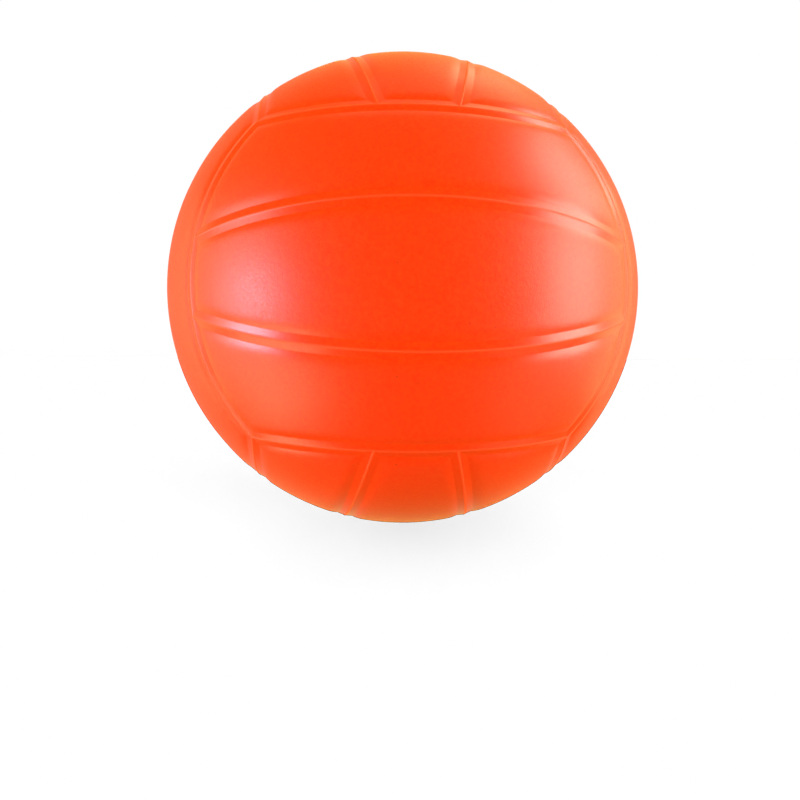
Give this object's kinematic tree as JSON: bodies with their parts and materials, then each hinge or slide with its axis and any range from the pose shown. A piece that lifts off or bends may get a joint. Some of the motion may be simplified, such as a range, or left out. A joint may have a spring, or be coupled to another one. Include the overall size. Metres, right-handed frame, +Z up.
{
  "type": "volleyball",
  "caption": "Moulded volleyball with strip cover panels in crossing groups, raised seams in shallow grooves, wound carcass, bladder and needle valve.",
  "frame": {"origin": "the ball's centre", "axes": "+Z up, -Y is the front face that the picture shows, +Y is the valve's axis on the back"},
  "size_m": [0.21, 0.2099, 0.21],
  "materials": {
    "cover": "satin moulded rubber with a fine grain",
    "cushion": "matt felt-like cushion sheet",
    "thread": "wound thread set in latex",
    "bladder": "smooth satin black rubber",
    "valve_rubber": "matt black rubber",
    "core_rubber": "matt dark grey rubber"
  },
  "bodies": {
    "root": {"front_panel_upper": "cover", "front_panel_middle": "cover", "front_panel_lower": "cover", "back_panel_upper": "cover", "back_panel_middle": "cover", "back_panel_lower": "cover", "left_panel_front": "cover", "left_panel_middle": "cover", "left_panel_back": "cover", "right_panel_front": "cover", "right_panel_middle": "cover", "right_panel_back": "cover", "top_panel_left": "cover", "top_panel_middle": "cover", "top_panel_right": "cover", "bottom_panel_left": "cover", "bottom_panel_middle": "cover", "bottom_panel_right": "cover", "cushion_layer": "cushion", "thread_winding": "thread", "bladder": "bladder", "valve_body": "valve_rubber", "valve_core": "core_rubber"}
  },
  "joints": []
}
